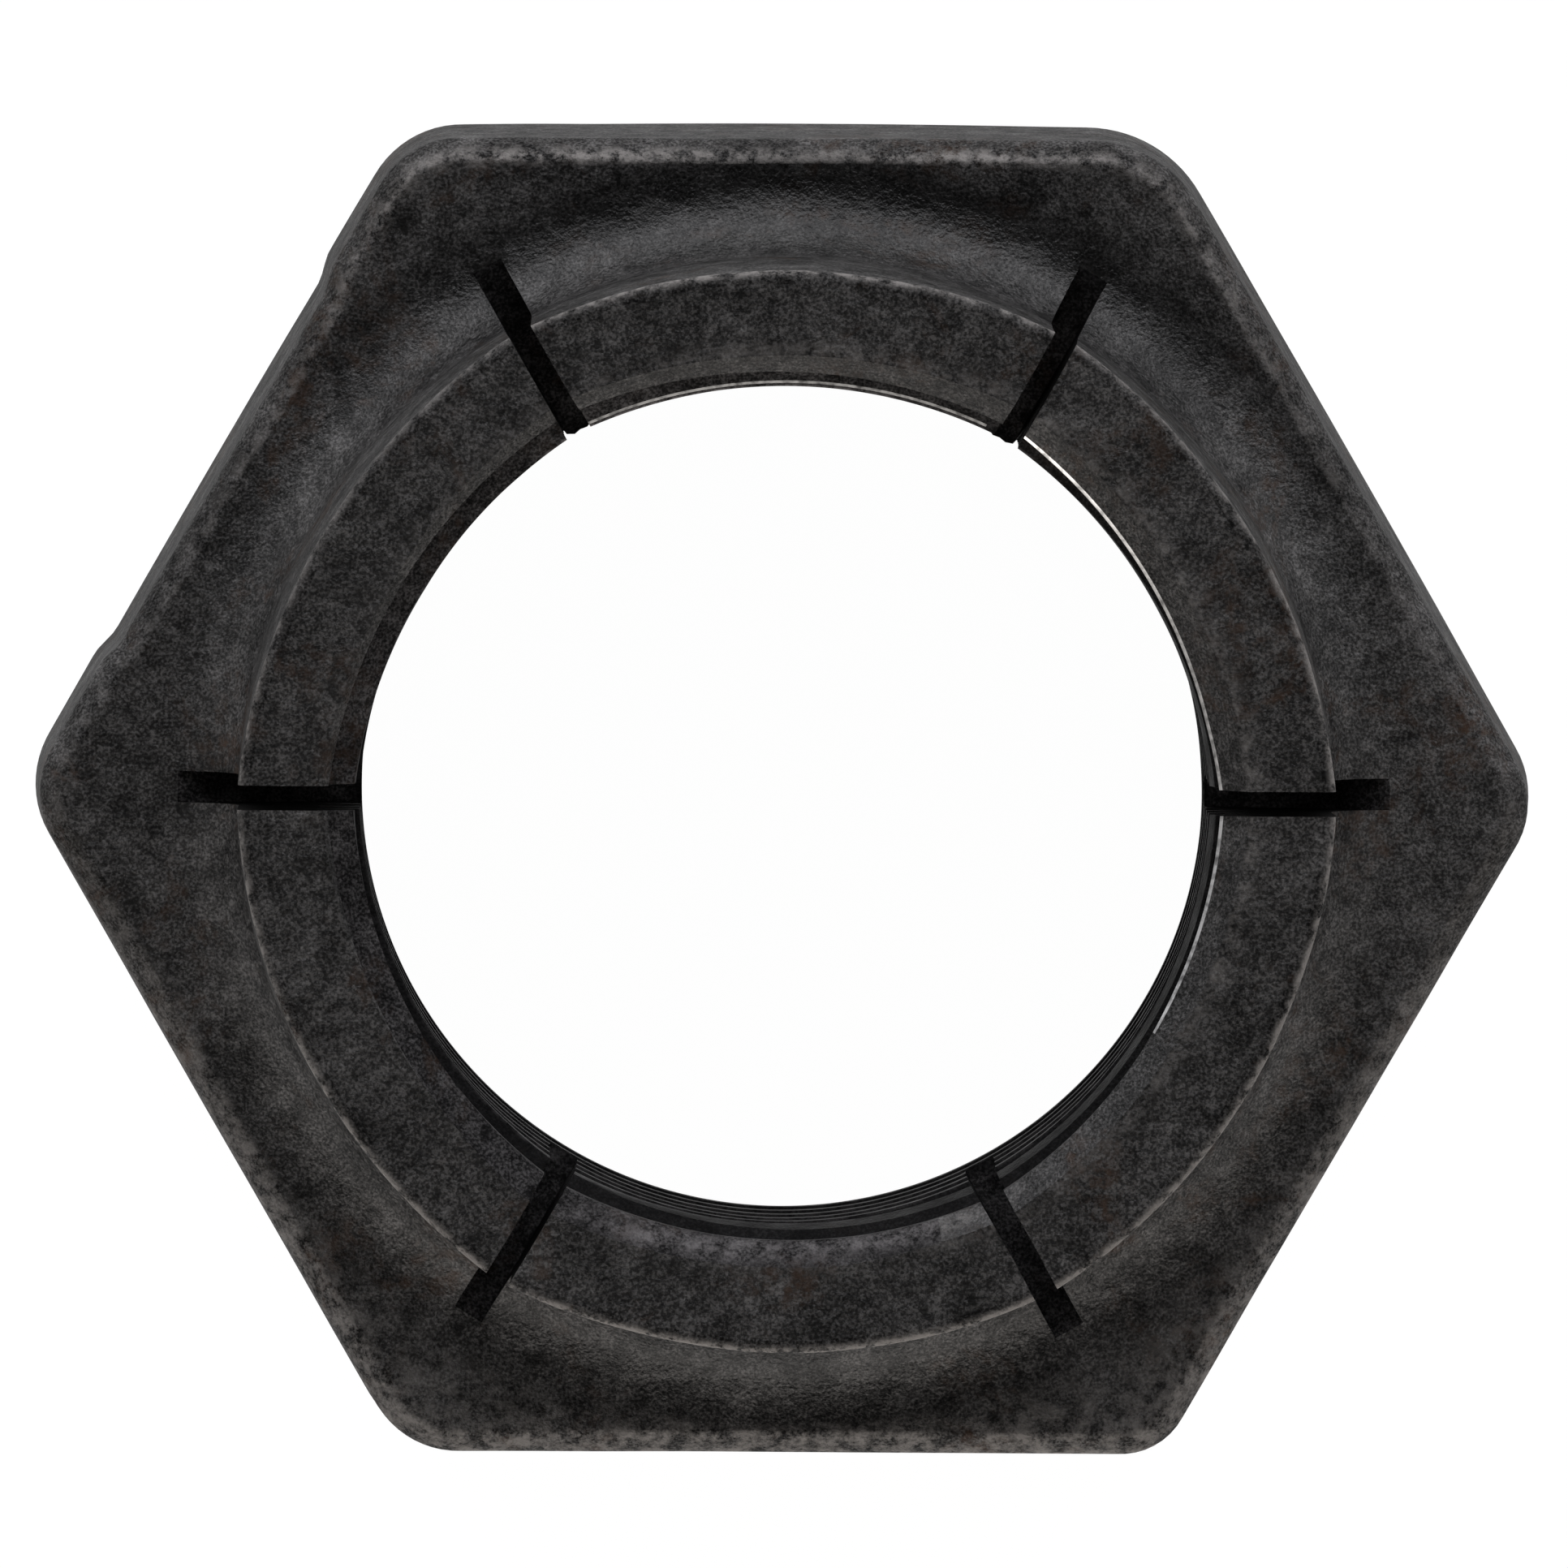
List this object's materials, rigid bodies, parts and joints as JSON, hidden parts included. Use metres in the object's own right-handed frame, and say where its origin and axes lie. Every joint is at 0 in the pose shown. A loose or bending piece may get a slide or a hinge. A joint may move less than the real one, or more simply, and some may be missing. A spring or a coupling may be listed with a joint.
{
  "type": "slotted collar lock nut",
  "caption": "All-metal hexagon lock nut whose slotted, pressed-in collar grips the bolt thread.",
  "frame": {"origin": "centre of the flat bearing face, on the thread axis", "axes": "+Z along the thread axis from the bearing face to the slotted collar; +X through a corner of the hexagon and a slot; +Y across two flats"},
  "size_m": [0.0412, 0.0364, 0.0163],
  "materials": {
    "dark_oxide_steel": "forged, dark oxide scale, lightly oiled"
  },
  "bodies": {
    "root": {"lock_nut": "dark_oxide_steel"}
  },
  "joints": []
}
